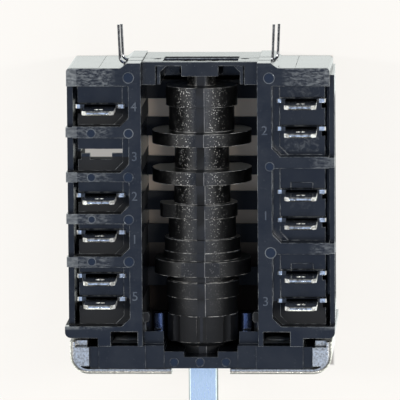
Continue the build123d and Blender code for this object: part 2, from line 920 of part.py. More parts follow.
with BuildPart() as rear_bridge:
    bridge_half = channel_reach - fit_gap
    bridge_z = (bridge_back_z, bridge_front_z)
    under_plate_y = bridge_top_y - bridge_plate
    block(RIGHT, (-bridge_half, bridge_half), (under_plate_y, bridge_top_y), bridge_z)
    block(
        RIGHT,
        (-bridge_half, bridge_half),
        (bridge_leg_y, bridge_top_y),
        (bridge_back_z, bridge_back_z + bridge_back_wall),
    )
    for side in SIDES.values():
        block(side, (bridge_leg_inner_reach, bridge_half), (bridge_leg_y, bridge_top_y), bridge_z)
        # A thin rib beside each leg, with a gusset up to the plate
        rib_z = (bridge_back_z, bridge_front_z - bridge_rib_inset)
        block(side, bridge_rib_reach, (bridge_leg_y, under_plate_y), rib_z)
        with BuildSketch(Plane.XY.offset(rib_z[0])):
            with BuildLine():
                Polyline(
                    (side * bridge_rib_reach[0], under_plate_y),
                    (side * bridge_rib_reach[0], under_plate_y - gusset_size),
                    (side * (bridge_rib_reach[0] - gusset_size), under_plate_y),
                    close=True,
                )
            make_face()
        extrude(amount=rib_z[1] - rib_z[0])
    block(RIGHT, (-tongue_half, tongue_half), (tongue_y, under_plate_y), (0, bridge_front_z))
    with BuildSketch(section(tongue_y)):
        Circle(rear_journal_radius + bearing_wall)
    extrude(amount=under_plate_y - tongue_y)
    with BuildSketch(section(tongue_y)):
        Circle(rear_journal_radius + running_gap)
    extrude(amount=rear_journal_y[1] + fit_gap - tongue_y, mode=Mode.SUBTRACT)
    # Shallow recess in the rear face with three oval dimples
    block(
        RIGHT,
        (-recess_half, recess_half),
        (bridge_top_y - recess_depth, bridge_top_y + 1),
        recess_z,
        Mode.SUBTRACT,
    )
    with BuildSketch(section(bridge_top_y - recess_depth)):
        with Locations((0, -sum(recess_z) / 2)):
            with GridLocations(oval_pitch, 1, 3, 1):
                Ellipse(oval_half_width, oval_half_length)
    extrude(amount=-oval_depth, mode=Mode.SUBTRACT)
    # A round dimple on either side of the recess
    for side in SIDES.values():
        with BuildSketch(section(bridge_top_y)):
            with Locations((side * bridge_dimple_reach, -sum(recess_z) / 2)):
                Circle(bridge_dimple_radius)
        extrude(amount=-oval_depth, mode=Mode.SUBTRACT)
    for wire in wires.values():
        block(
            RIGHT,
            (-channel_reach, channel_reach),
            (wire_y - wire_radius - fit_gap, bridge_top_y + 1),
            around(wire["z"], wire_radius + fit_gap),
            Mode.SUBTRACT,
        )
save(rear_bridge.part, "rear_bridge")

for wire_name, wire in wires.items():
    with BuildPart() as bent_wire:
        with BuildLine(Plane.XY.offset(wire["z"])) as bend:
            FilletPolyline(
                (-wire["reach"][LEFT] - wire_lean, wire["top_y"]),
                (-wire["reach"][LEFT], wire_y),
                (wire["reach"][RIGHT], wire_y),
                (wire["reach"][RIGHT] + wire_lean, wire["top_y"]),
                radius=wire_bend,
            )
        with BuildSketch(Plane(origin=bend.line @ 0, z_dir=bend.line % 0)):
            RegularPolygon(wire_radius, wire_sides)
        sweep()
    save(bent_wire.part, f"{wire_name}_retaining_wire")
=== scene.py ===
import math

import bmesh
import bpy
from mathutils import Matrix, Vector


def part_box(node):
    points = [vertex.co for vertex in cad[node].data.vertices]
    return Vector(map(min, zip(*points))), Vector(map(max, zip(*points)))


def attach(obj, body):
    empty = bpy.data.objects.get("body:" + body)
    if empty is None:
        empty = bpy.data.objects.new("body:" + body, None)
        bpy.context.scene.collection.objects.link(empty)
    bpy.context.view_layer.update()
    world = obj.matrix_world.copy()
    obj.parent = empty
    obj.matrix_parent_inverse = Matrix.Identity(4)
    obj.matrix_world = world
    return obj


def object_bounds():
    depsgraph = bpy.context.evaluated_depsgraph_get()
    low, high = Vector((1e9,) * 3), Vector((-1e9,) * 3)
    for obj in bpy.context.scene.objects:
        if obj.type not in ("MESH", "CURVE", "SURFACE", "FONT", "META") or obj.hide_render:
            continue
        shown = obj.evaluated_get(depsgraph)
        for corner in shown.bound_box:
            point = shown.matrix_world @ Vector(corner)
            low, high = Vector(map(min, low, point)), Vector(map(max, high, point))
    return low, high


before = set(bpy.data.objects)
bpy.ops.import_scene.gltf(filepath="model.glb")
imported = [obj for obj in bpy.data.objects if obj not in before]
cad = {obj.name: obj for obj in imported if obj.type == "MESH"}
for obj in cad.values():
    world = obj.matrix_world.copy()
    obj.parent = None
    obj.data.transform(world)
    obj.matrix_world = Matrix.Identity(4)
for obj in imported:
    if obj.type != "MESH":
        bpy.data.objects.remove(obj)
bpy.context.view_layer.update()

mm = 0.001


# The two contact banks. Black glass-filled plastic, injection moulded in one piece each. Their
# satin skin mirrors the bluish room, and the partitions and lugs are rubbed grey and dusty.


def linear(code):
    """An sRGB hex colour as linear red, green, blue and alpha."""
    channels = [int(code[i : i + 2], 16) / 255 for i in (1, 3, 5)]
    return [c / 12.92 if c <= 0.04045 else ((c + 0.055) / 1.055) ** 2.4 for c in channels] + [1.0]


def node(tree, kind, inputs=(), **settings):
    """Adds a shader node. Inputs are nodes, sockets or values, settings its own properties."""
    made = tree.nodes.new("ShaderNode" + kind)
    for name, value in settings.items():
        setattr(made, name, value)
    pairs = inputs.items() if isinstance(inputs, dict) else enumerate(inputs)
    for key, value in pairs:
        if isinstance(value, bpy.types.Node):
            value = value.outputs[0]
        if isinstance(value, bpy.types.NodeSocket):
            tree.links.new(value, made.inputs[key])
        else:
            made.inputs[key].default_value = value
    return made


def new_material(name):
    """An empty node material, its tree and the place of a point on the piece."""
    material = bpy.data.materials.new(name)
    material.use_nodes = True
    tree = material.node_tree
    tree.nodes.clear()
    return material, tree, node(tree, "TexCoord").outputs["Object"]


def finish_material(tree, shader):
    """Sends the shader to the material's output."""
    output = tree.nodes.new("ShaderNodeOutputMaterial")
    tree.links.new(shader.outputs[0], output.inputs["Surface"])


# Real dust is 0.05 mm and the mould's eroded grain 0.03 mm. Both are drawn coarser here, so that
# a picture of the whole switch still shows them. Sizes are in millimetres.
film_size = 4.0
patch_size = 1.4
speck_spacing = 0.6
eroded_grain = 0.26
grain_height = 0.05
film_share = 0.4
# Near black, for matt patches and for painted shade
matt_and_shade_black = "#030303"
matt_roughness = 0.5


def moulded_plastic(
    name, colour, pale_tint, roughness, dust, wear_and_highlight=0.5, grain=0.05, edge=0.1, ior=1.5, rubbed_and_lit=None, matt_and_shade=None
):
    """Moulded plastic with an eroded grain, a film and specks of dust, and pale edges, partly wear and partly
    a painted highlight.

    Dust and the edge share are the largest shares of the pale colour, edge is the reach of a pale edge in
    millimetres. The two mask functions say where it is made paler, by scuffs and painted highlights, and
    where darker and rougher, by matt patches and painted shade.
    """
    material, tree, place = new_material(name)

    # A cloudy film of dust, and specks that gather in patches
    cloud = node(tree, "TexNoise", {"Vector": place, "Scale": 1 / (film_size * mm), "Detail": 5.0})
    cells = node(tree, "TexVoronoi", {"Vector": place, "Scale": 1 / (speck_spacing * mm)})
    patch = node(tree, "TexNoise", {"Vector": place, "Scale": 1 / (patch_size * mm), "Detail": 2.0})
    speck = node(tree, "MapRange", (cells, 0.10, 0.24, 1.0, 0.0))
    spread = node(tree, "MapRange", (patch, 0.48, 0.62, 0.0, dust))
    specks = node(tree, "Math", (speck, spread), operation="MULTIPLY")
    film = node(tree, "MapRange", (cloud, 0.35, 0.75, 0.0, dust * film_share))
    pale_share = node(tree, "Math", (film, specks), operation="ADD")

    # Pale edges, partly real wear and partly a painted highlight: the rounded normal leans away from the face
    # near an edge. The paleness is broken up
    rounded = node(tree, "Bevel", {"Radius": edge * mm}, samples=8)
    facing = node(tree, "NewGeometry").outputs["Normal"]
    bent = node(tree, "VectorMath", (rounded, facing), operation="DOT_PRODUCT").outputs["Value"]
    rim = node(tree, "MapRange", (bent, 0.76, 0.985, 1.0, 0.0))
    broken = node(tree, "MapRange", (patch, 0.42, 0.60, 0.1, wear_and_highlight))
    edge_wear_and_highlight = node(tree, "Math", (rim, broken), operation="MULTIPLY")
    pale_share = node(tree, "Math", (pale_share, edge_wear_and_highlight), operation="ADD")
    if rubbed_and_lit:
        pale_share = node(tree, "Math", (pale_share, rubbed_and_lit(tree, place)), operation="ADD", use_clamp=True)

    # Dust, wear and painted highlights make it paler and rougher; matt patches and painted shade make it
    # darker and rougher
    rough = node(tree, "MapRange", (pale_share, 0.0, 0.5, roughness, min(roughness + 0.3, 1.0)))
    body = node(tree, "MixRGB", {"Fac": pale_share, "Color1": linear(colour), "Color2": linear(pale_tint)})
    if matt_and_shade:
        where = node(tree, "Math", (matt_and_shade(tree, place), edge_wear_and_highlight), operation="SUBTRACT", use_clamp=True)
        rougher = node(tree, "Math", (where, matt_roughness), operation="MULTIPLY")
        rough = node(tree, "Math", (rough, rougher), operation="ADD")
        body = node(tree, "MixRGB", {"Fac": where, "Color1": body, "Color2": linear(matt_and_shade_black)})

    fine = node(tree, "TexNoise", {"Vector": place, "Scale": 1 / (eroded_grain * mm), "Detail": 3.0})
    relief = {"Height": fine, "Strength": grain, "Distance": grain_height * mm, "Normal": rounded}
    bump = node(tree, "Bump", relief)
    surface = {"Base Color": body, "Roughness": rough, "Normal": bump, "IOR": ior}
    finish_material(tree, node(tree, "BsdfPrincipled", surface))
    return material


def coat(names, material):
    """Gives CAD nodes their material."""
    for name in names:
        cad[name].data.materials.clear()
        cad[name].data.materials.append(material)


def region(tree, spans):
    """1 where each value lies between its low and high limit in millimetres, and 0 elsewhere."""
    inside = None
    for value, low, high in spans:
        middle, half = (low + high) / 2 * mm, (high - low) / 2 * mm
        within = node(tree, "Math", (value, middle, half), operation="COMPARE")
        inside = node(tree, "Math", (inside, within), operation="MULTIPLY") if inside else within
    return inside


def any_of(tree, regions):
    """1 inside any of several regions, and 0 elsewhere."""
    total = regions[0]
    for other in regions[1:]:
        total = node(tree, "Math", (total, other), operation="MAXIMUM")
    return total


# Where the tops of the partitions, the rear band and the lugs are rubbed, in millimetres, and how
# strongly. The two sides differ in the photo.
bank_top_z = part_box("left_contact_bank")[1].z
top_depth = 0.2
soft_edge = 0.1
rear_band_y = 58.2
rear_band_scuff = 0.8
rear_scuff_reach = (16.5, 18.0)
flange_y = 9.0
flange_ramp = 0.5
scuff_reach = {-1: (17.0, 19.0), 1: (21.5, 23.5)}
scuff_strength = {-1: 0.5, 1: 0.4}
lug_inner_reach = {-1: 24.4, 1: 24.9}
lug_dust = {-1: 0.3, 1: 0.12}
scratch_size = 0.5
scratch_stretch = 0.35
smear_size = 1.1

# Dirty patches in the wells, as low X, high X, low Y, high Y in millimetres and strength
dust_patches = {
    -1: [
        (16.5, 24.0, 50.4, 52.8, 0.08),
        (16.5, 24.0, 24.2, 27.5, 0.05),
    ],
    1: [
        (16.8, 23.8, 44.6, 48.2, 0.2),
        (17.5, 24.0, 55.6, 57.6, 0.12),
        (18.0, 23.0, 33.0, 35.6, 0.06),
    ],
}

# Floors between a terminal and the partition in front of it, painted dark as shade, as low Y and high Y in
# millimetres
shaded_floors = {
    -1: [(9.75, 15.0), (23.9, 28.3), (32.5, 35.8), (40.8, 43.6), (50.1, 53.7)],
    1: [(9.75, 14.5)],
}
floor_depth = 2.0


def rubbed_partitions(side):
    """Says where one bank has pale scuffs on its partitions and rear band, and dust on its lugs."""
    reach_low, reach_high = scuff_reach[side]
    rear_low, rear_high = rear_scuff_reach
    lug_reach = lug_inner_reach[side]

    def where(tree, place):
        axes = node(tree, "SeparateXYZ", (place,))
        along = axes.outputs["Y"]
        across = node(tree, "Math", (axes.outputs["X"],), operation="ABSOLUTE")
        top = node(tree, "Math", (axes.outputs["Z"], bank_top_z - top_depth * mm), operation="GREATER_THAN")

        # Scratches, drawn out across the switch
        stretched = node(tree, "Mapping", {"Vector": place, "Scale": (scratch_stretch, 1.0, 1.0)})
        scratches = {"Vector": stretched, "Scale": 1 / (scratch_size * mm), "Detail": 8.0, "Roughness": 0.7}
        streaks = node(tree, "TexNoise", scratches)
        scuff = node(tree, "MapRange", (streaks, 0.45, 0.8, 0.02, 0.9))

        # How far they reach in, and how strong they are, on the rear band and ahead of it
        band_low, band_high = rear_band_y * mm, (rear_band_y + soft_edge) * mm
        behind = node(tree, "MapRange", (along, band_low, band_high, 0.0, rear_band_scuff))
        flange_low, flange_high = flange_y * mm, (flange_y + flange_ramp) * mm
        ahead = node(tree, "MapRange", (along, flange_low, flange_high, 0.0, scuff_strength[side]))
        share = node(tree, "Math", (behind, ahead), operation="MAXIMUM")
        reach = node(tree, "MapRange", (across, reach_low * mm, reach_high * mm, 0.05, 1.0))
        outer = node(tree, "MapRange", (across, rear_low * mm, rear_high * mm, 0.05, 1.0))
        rear_outer = node(tree, "Math", (outer, behind), operation="MULTIPLY")
        reach = node(tree, "Math", (reach, rear_outer), operation="MAXIMUM")
        reach = node(tree, "Math", (reach, share), operation="MULTIPLY")
        scuffed = node(tree, "Math", (scuff, reach), operation="MULTIPLY")

        lug_low, lug_high = lug_reach * mm, (lug_reach + soft_edge) * mm
        lug = node(tree, "MapRange", (across, lug_low, lug_high, 0.0, lug_dust[side]))
        pale_tint = node(tree, "Math", (lug, ahead), operation="MULTIPLY")
        total = node(tree, "Math", (scuffed, pale_tint), operation="ADD")
        total = node(tree, "Math", (total, top), operation="MULTIPLY")

        # A cloudy, slightly streaked dirt in the patches
        smears = {"Vector": place, "Scale": 1 / (smear_size * mm), "Detail": 8.0, "Roughness": 0.7}
        dirt = node(tree, "TexNoise", {**smears, "Distortion": 0.6})
        smear = node(tree, "MapRange", (dirt, 0.46, 0.72, 0.0, 1.0))
        for low_x, high_x, low_y, high_y, strength in dust_patches[side]:
            patch = region(tree, [(across, low_x, high_x), (along, low_y, high_y)])
            pale_share = node(tree, "Math", (smear, strength), operation="MULTIPLY")
            pale_share = node(tree, "Math", (patch, pale_share), operation="MULTIPLY")
            total = node(tree, "Math", (total, pale_share), operation="ADD")
        return total

    return where


def painted_shade_floors(side):
    """Says where the well floors of one side are painted dark as shade, and made rougher."""

    def where(tree, place):
        axes = node(tree, "SeparateXYZ", (place,))
        floors = [region(tree, [(axes.outputs["Y"], low, high)]) for low, high in shaded_floors[side]]
        below = node(tree, "Math", (axes.outputs["Z"], bank_top_z - floor_depth * mm), operation="LESS_THAN")
        return node(tree, "Math", (any_of(tree, floors), below), operation="MULTIPLY")

    return where


# Bluish black, because it mirrors the overhead sheet. Its pale edges, wear and painted highlight, draw every
# well's outline, and the floors ahead of the terminals are painted dark as shade
for side_name, side in (("left", -1), ("right", 1)):
    bank_black = moulded_plastic(
        f"moulded black {side_name} bank, satin",
        "#03060e",
        "#a8aaa6",
        roughness=0.22,
        dust=0.05,
        wear_and_highlight=1.0,
        edge=0.18,
        rubbed_and_lit=rubbed_partitions(side),
        matt_and_shade=painted_shade_floors(side),
    )
    coat([f"{side_name}_contact_bank"], bank_black)


# The side covers. The same black plastic, moulded thinner, hooked to the banks. Cleaner than the
# banks, so they show the bluish room evenly.

cover_black = moulded_plastic(
    "moulded black cover, satin", "#05070d", "#9a9c97", roughness=0.22, dust=0.05, wear_and_highlight=0.8
)
coat(["left_side_cover", "right_side_cover"], cover_black)


# Round marks that the mould's ejector pins leave on the banks, and plain cavity numbers beside
# the wells. The pins' polished ends leave a smooth face, painted bluish as a reflection of the overhead
# sheet, and their gap a pale raised rim.

mark_edge = 0.03
pin_face = moulded_plastic(
    "moulded pin mark, polished, painted blue reflection",
    "#0f1826",
    "#8d8f92",
    roughness=0.12,
    dust=0.03,
    wear_and_highlight=0.0,
    edge=mark_edge,
)
pin_rim = moulded_plastic(
    "moulded pin rim, worn pale",
    "#14181e",
    "#b2b5b2",
    roughness=0.3,
    dust=0.8,
    wear_and_highlight=0.5,
    edge=mark_edge,
)
rim_width = 0.16
rim_height = 0.05
face_height = 0.015
mark_sink = 0.05
mark_steps = 32

# Each mark as X, Y and radius in millimetres
left_marks = [
    (-14.05, 59.9, 1.15),
    (-14.1, 48.7, 1.0),
    (-14.2, 39.9, 1.05),
    (-14.2, 31.35, 1.05),
    (-14.2, 22.85, 1.1),
    (-21.6, 48.75, 0.95),
    (-21.6, 39.9, 0.9),
    (-21.6, 31.4, 0.8),
    (-21.7, 22.85, 0.9),
]
right_marks = [(14.0, 59.8, 1.15), (14.05, 42.05, 0.95), (14.15, 24.7, 1.15)]


def piece(name, shape, material, body):
    """Turns a finished shape into an object that rides on a body."""
    mesh = bpy.data.meshes.new(name)
    shape.to_mesh(mesh)
    shape.free()
    mesh.materials.append(material)
    made = bpy.data.objects.new(name, mesh)
    bpy.context.scene.collection.objects.link(made)
    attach(made, body)


def ring(shape, x, y, face_z, inner, outer, low, high):
    """Adds a flat ring, or a disc where the inner radius is nil. Sizes are in millimetres."""
    section = [(inner, low), (outer, low), (outer, high), (inner, high)]
    ends = [shape.verts.new((mm * (x + r), mm * y, face_z + mm * z)) for r, z in section]
    edges = [shape.edges.new((ends[i], ends[i - 1])) for i in range(4)]
    centre = (mm * x, mm * y, 0)
    bmesh.ops.spin(
        shape, geom=ends + edges, cent=centre, axis=(0, 0, 1), angle=math.tau, steps=mark_steps
    )


def pin_marks(name, marks, face_z, rim):
    """Round pin marks on a face that looks up: smooth discs, each in its raised rim."""
    discs, rims = bmesh.new(), bmesh.new()
    for x, y, radius in marks:
        ring(discs, x, y, face_z, 0.0, radius - rim_width, -mark_sink, face_height)
        ring(rims, x, y, face_z, radius - rim_width, radius, -mark_sink, rim_height)
    for part, shape, material in (("faces", discs, pin_face), ("rims", rims, rim)):
        bmesh.ops.remove_doubles(shape, verts=shape.verts, dist=0.001 * mm)
        bmesh.ops.dissolve_degenerate(shape, edges=shape.edges, dist=0.0005 * mm)
        bmesh.ops.recalc_face_normals(shape, faces=shape.faces)
        piece(f"{name}_{part}", shape, material, "housing")


pin_marks("left_pin_mark", left_marks, bank_top_z, pin_rim)
pin_marks("right_pin_mark", right_marks, bank_top_z, pin_rim)

# The numbers stand a hair proud, so they are rubbed grey. Each as digit, X and Y in millimetres
number_grey = moulded_plastic(
    "moulded raised numbers, rubbed",
    "#343a42",
    "#a0a29e",
    roughness=0.3,
    dust=0.4,
    wear_and_highlight=0.3,
    edge=mark_edge,
)
number_size = 2.6
number_relief = 0.04
numbers = {
    "left": [
        ("4", -13.0, 54.0),
        ("3", -12.95, 44.0),
        ("2", -13.0, 36.0),
        ("1", -13.05, 27.3),
        ("5", -13.05, 15.8),
    ],
    "right": [
        ("2", 13.05, 49.2),
        ("1", 13.2, 32.1),
        ("3", 13.1, 14.8),
    ],
}
for side_name, marks in numbers.items():
    for digit, x, y in marks:
        text = bpy.data.curves.new(f"{side_name}_number_{digit}", "FONT")
        text.body = digit
        text.size = number_size * mm
        text.extrude = number_relief * mm
        text.align_x = "CENTER"
        text.align_y = "CENTER"
        written = bpy.data.objects.new(text.name, text)
        bpy.context.scene.collection.objects.link(written)
        written.location = (mm * x, mm * y, bank_top_z)
        bpy.context.view_layer.update()
        mesh = bpy.data.meshes.new_from_object(written)
        mesh.transform(written.matrix_world)
        bpy.data.objects.remove(written)
        shape = bmesh.new()
        shape.from_mesh(mesh)
        piece(f"{side_name}_number_{digit}", shape, number_grey, "housing")


# The camshaft. One black moulding, satin from its mould, with pale specks painted as glints where the side
# lights graze it, and painted shade toward its front. A flat strip with a thin flash line runs along its
# mould parting.

# How strongly the camshaft's front end and body are painted dark as shade, and over which Y in millimetres
detent_end_y = 12.0
detent_ramp = 1.0
detent_shade = 0.9
dim_end_y = 40.0
body_shade = 0.55

# Painted glints, as pale specks. Real dust and burr are under 0.1 mm; these are drawn coarser, to show from a
# metre away
glint_spacing = 0.38
glint_clump = 0.9
glint_inner = (1.3, 2.1)
glint_outer = (3.6, 5.6)


def shaded_end(tree, place):
    """The camshaft's front end, painted dark and rough as the photo shows it, fading to the rear."""
    along = node(tree, "SeparateXYZ", (place,)).outputs["Y"]
    low, high = (detent_end_y - detent_ramp) * mm, (detent_end_y + detent_ramp) * mm
    end = node(tree, "MapRange", (along, low, high, detent_shade, 0.0))
    dimming = node(tree, "MapRange", (along, detent_end_y * mm, dim_end_y * mm, body_shade, 0.0))
    return node(tree, "Math", (end, dimming), operation="MAXIMUM")


def painted_glints(tree, place):
    """Painted glints: pale specks, thick in bands on each side of the parting where the side lights graze it.
    """
    cells = node(tree, "TexVoronoi", {"Vector": place, "Scale": 1 / (glint_spacing * mm)})
    clump = node(tree, "TexNoise", {"Vector": place, "Scale": 1 / (glint_clump * mm), "Detail": 3.0})
    spot = node(tree, "MapRange", (cells, 0.14, 0.36, 1.0, 0.0))
    thick = node(tree, "MapRange", (clump, 0.38, 0.64, 0.0, 1.0))
    specks = node(tree, "Math", (spot, thick), operation="MULTIPLY")

    axes = node(tree, "SeparateXYZ", (place,))
    across = node(tree, "Math", (axes.outputs["X"],), operation="ABSOLUTE")
    inner = node(tree, "MapRange", (across, glint_inner[0] * mm, glint_inner[1] * mm, 0.1, 1.0))
    outer = node(tree, "MapRange", (across, glint_outer[0] * mm, glint_outer[1] * mm, 1.0, 0.05))
    band = node(tree, "Math", (inner, outer), operation="MULTIPLY")
    ahead = node(tree, "MapRange", (axes.outputs["Y"], detent_end_y * mm, dim_end_y * mm, 0.15, 1.0))
    reach = node(tree, "Math", (band, ahead), operation="MULTIPLY")
    return node(tree, "Math", (specks, reach), operation="MULTIPLY")


# Deeper black than the banks. Its index is a little below acetal's 1.48, because the overhead
# sheet would grey it more than the photo shows
cam_index = 1.43
cam_black = moulded_plastic(
    "moulded black camshaft, satin and dusty",
    "#020202",
    "#dcd7cc",
    roughness=0.28,
    dust=0.03,
    wear_and_highlight=1.0,
    grain=0.3,
    edge=0.25,
    ior=cam_index,
    rubbed_and_lit=painted_glints,
    matt_and_shade=shaded_end,
)
coat(["camshaft"], cam_black)

strip_half = 0.75
strip_rise = 0.02
strip_depth = 0.4
flash_place = 0.85
flash_half = 0.07
flash_rise = 0.07
smooth_patch = 6.0
probe_step = 0.1
shortest_stretch = 0.3


def camshaft_tops():
    """Stretches of even height along the camshaft's top, as low Y, high Y and height."""
    low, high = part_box("camshaft")
    half_step = probe_step / 2 * mm
    stretches = []
    y = low.y + half_step
    while y < high.y:
        above = Vector((0, y, high.z + mm))
        hit, spot, *_ = cad["camshaft"].ray_cast(above, Vector((0, 0, -1)))
        if hit:
            if stretches and abs(stretches[-1][2] - spot.z) < probe_step * mm:
                stretches[-1][1] = y + half_step
            else:
                stretches.append([y - half_step, y + half_step, spot.z])
        y += probe_step * mm
    return stretches


def bar(shape, low, high):
    """Adds a rectangular bar between two corners."""
    placed = Matrix.Translation((low + high) / 2) @ Matrix.Diagonal((*(high - low), 1))
    bmesh.ops.create_cube(shape, size=1.0, matrix=placed)


def dulled_strip(tree, place):
    """Leaves the strip smooth only in patches between the discs."""
    patch = node(tree, "TexNoise", {"Vector": place, "Scale": 1 / (smooth_patch * mm), "Detail": 2.0})
    return node(tree, "MapRange", (patch, 0.42, 0.58, 1.0, 0.3))


# The strip is clean and bluish where it is smooth, the flash line a thin pale thread beside it
strip_black = moulded_plastic(
    "moulded parting strip, smooth",
    "#010207",
    "#b9b4aa",
    roughness=0.28,
    dust=0.02,
    wear_and_highlight=0.0,
    edge=0.06,
    ior=cam_index,
    matt_and_shade=dulled_strip,
)
flash_grey = moulded_plastic(
    "moulded flash line, pale",
    "#303236",
    "#c9c4ba",
    roughness=0.25,
    dust=1.0,
    wear_and_highlight=0.1,
    edge=mark_edge,
)
bpy.context.view_layer.update()
strip, flash = bmesh.new(), bmesh.new()
lines = [
    (strip, -strip_half, strip_half, strip_rise),
    (flash, flash_place - flash_half, flash_place + flash_half, flash_rise),
]
for low_y, high_y, top_z in camshaft_tops():
    if high_y - low_y >= shortest_stretch * mm:
        for shape, low_x, high_x, rise in lines:
            foot = Vector((low_x * mm, low_y, top_z - strip_depth * mm))
            head = Vector((high_x * mm, high_y, top_z + rise * mm))
            bar(shape, foot, head)
piece("camshaft_parting_strip", strip, strip_black, "selector")
piece("camshaft_flash_line", flash, flash_grey, "selector")


# The front housing, the rear bridge and the contact carriers. Dark moulded plastic. The housing
# and the bridge are satin like the banks, the carriers are dull and sit deep in the shade.

# Where the bosses' tops are painted pale as a highlight, in millimetres, and how pale
dome_reach = (12.6, 18.0)
dome_y = (1.2, 9.0)
dome_top = 6.0
dome_highlight = 0.8


def painted_dome_highlight(tree, place):
    """The bosses behind the screw holes, painted pale as a highlight."""
    axes = node(tree, "SeparateXYZ", (place,))
    across = node(tree, "Math", (axes.outputs["X"],), operation="ABSOLUTE")
    dome = region(tree, [(across, *dome_reach), (axes.outputs["Y"], *dome_y)])
    low = node(tree, "Math", (axes.outputs["Z"], dome_top * mm), operation="LESS_THAN")
    pale = node(tree, "Math", (low, dome_highlight), operation="MULTIPLY")
    return node(tree, "Math", (dome, pale), operation="MULTIPLY")


# Like the banks but a touch duller, so that the front block reads as a piece of its own
housing_grey = moulded_plastic(
    "moulded dark housing, satin",
    "#05080e",
    "#9a9b98",
    roughness=0.25,
    dust=0.05,
    wear_and_highlight=0.8,
    rubbed_and_lit=painted_dome_highlight,
)
coat(["front_housing"], housing_grey)

# Its wider pale edges, partly wear and partly a painted highlight, run along the rear end
bridge_grey = moulded_plastic(
    "moulded rear bridge, satin",
    "#040509",
    "#b4b6b2",
    roughness=0.25,
    dust=0.06,
    wear_and_highlight=1.0,
    edge=0.16,
)
coat(["rear_bridge"], bridge_grey)

# Brownish and dull, so that the bars stay dark across the channel
carrier_grey = moulded_plastic(
    "moulded contact carrier, dull", "#0b0908", "#5c564e", roughness=0.6, dust=0.05
)
coat([f"contact_carrier_{n}" for n in range(1, 7)], carrier_grey)

# Three pin marks in a row on the housing's top, as X, Y and radius in millimetres
housing_marks = [(-5.4, 2.35, 0.95), (-0.2, 2.35, 0.95), (5.0, 2.35, 0.95)]
housing_top_z = 9.2
pin_marks("housing_pin_mark", housing_marks, housing_top_z * mm, housing_grey)


# The folded front plate. Sheet steel, zinc plated after bending, so its faces are speckled with
# zinc grains. Its rounded corners are drawn darker, and its sheared rim is half smooth and half broken.

unstretched = (1.0, 1.0, 1.0)
metal_dark_tone = "#1c1b1a"
metal_relief = 0.05


def metal(
    name,
    dark,
    bright,
    roughness,
    grain_size,
    contrast=(0.35, 0.68),
    edge=0.1,
    bumpiness=0.1,
    stretch=unstretched,
    darkened=None,
    torn=None,
):
    """Metal with a clouded tint, an uneven sheen, a fine relief and rounded edges.

    Grain size is the size of a cloud in millimetres, and the relief is five times finer. The darkening
    and the tearing function say where it is drawn dark, for a fractured rim, darker corners and painted
    shade, and where a cut left it rough.
    """
    material, tree, place = new_material(name)
    grained = node(tree, "Mapping", {"Vector": place, "Scale": stretch})
    scale = 1 / (grain_size * mm)
    cloud = node(tree, "TexNoise", {"Vector": grained, "Scale": scale, "Detail": 6.0})
    fine = node(tree, "TexNoise", {"Vector": grained, "Scale": scale * 5, "Detail": 4.0})
    tint = node(tree, "MapRange", (cloud, *contrast, 0.0, 1.0))
    body = node(tree, "MixRGB", {"Fac": tint, "Color1": linear(dark), "Color2": linear(bright)})
    if darkened:
        body = node(tree, "MixRGB", {"Fac": darkened(tree, place), "Color1": body, "Color2": linear(metal_dark_tone)})
    sheen = node(tree, "MapRange", (cloud, 0.3, 0.7, roughness * 1.25, roughness * 0.8))
    if torn:
        sheen = node(tree, "Math", (sheen, torn(tree)), operation="ADD")
    rounded = node(tree, "Bevel", {"Radius": edge * mm}, samples=4)
    relief = {"Height": fine, "Strength": bumpiness, "Distance": metal_relief * mm, "Normal": rounded}
    bump = node(tree, "Bump", relief)
    surface = {"Base Color": body, "Metallic": 1.0, "Roughness": sheen, "Normal": bump}
    finish_material(tree, node(tree, "BsdfPrincipled", surface))
    return material


fracture_y = 0.55
fracture_dark = 0.7
fold_z = 8.8
corner_reach = 0.2
corner_dark = 0.85


def sheared_rim(tree, place):
    """Darker rounded corners, and the darker broken half of the upper rim."""
    rounded = node(tree, "Bevel", {"Radius": corner_reach * mm}, samples=8)
    facing = node(tree, "NewGeometry").outputs["Normal"]
    bent = node(tree, "VectorMath", (rounded, facing), operation="DOT_PRODUCT").outputs["Value"]
    corner = node(tree, "MapRange", (bent, 0.78, 0.98, corner_dark, 0.0))
    axes = node(tree, "SeparateXYZ", (place,))
    outer = node(tree, "Math", (axes.outputs["Y"], fracture_y * mm), operation="LESS_THAN")
    high = node(tree, "Math", (axes.outputs["Z"], fold_z * mm), operation="GREATER_THAN")
    broken = node(tree, "Math", (outer, high), operation="MULTIPLY")
    broken = node(tree, "Math", (broken, fracture_dark), operation="MULTIPLY")
    return node(tree, "Math", (broken, corner), operation="MAXIMUM")


# Grey-white with a fine glitter. Zinc grains are some 0.1 mm, drawn coarser here so that they show
plate_grain = 0.45
plate_zinc = metal(
    "zinc plated sheet steel, lightly speckled",
    "#8d8b86",
    "#e8e4d9",
    roughness=0.3,
    grain_size=plate_grain,
    contrast=(0.34, 0.66),
    bumpiness=0.03,
    darkened=sheared_rim,
)
coat(["front_plate"], plate_zinc)


# The shaft and the small steel parts. The shaft is turned and zinc plated with a bluish
# passivation, the wires are drawn, the springs rolled, and the rollers ground and polished.

flank_reach = (2.65, 2.8)
flank_shade = 0.85


def shaded_flanks(tree, place):
    """The round flanks beside the flat, painted dark as shade."""
    axes = node(tree, "SeparateXYZ", (place,))
    across = node(tree, "Math", (axes.outputs["X"],), operation="ABSOLUTE")
    return node(tree, "MapRange", (across, flank_reach[0] * mm, flank_reach[1] * mm, 0.0, flank_shade))


# Pale blue, with a faint grain drawn out along the shaft by the milling of its flat
shaft_zinc = metal(
    "zinc plated turned steel, bluish",
    "#cbdbe2",
    "#e9f3f6",
    roughness=0.3,
    grain_size=0.35,
    contrast=(0.35, 0.65),
    stretch=(1.0, 0.25, 1.0),
    darkened=shaded_flanks,
)
coat(["shaft"], shaft_zinc)

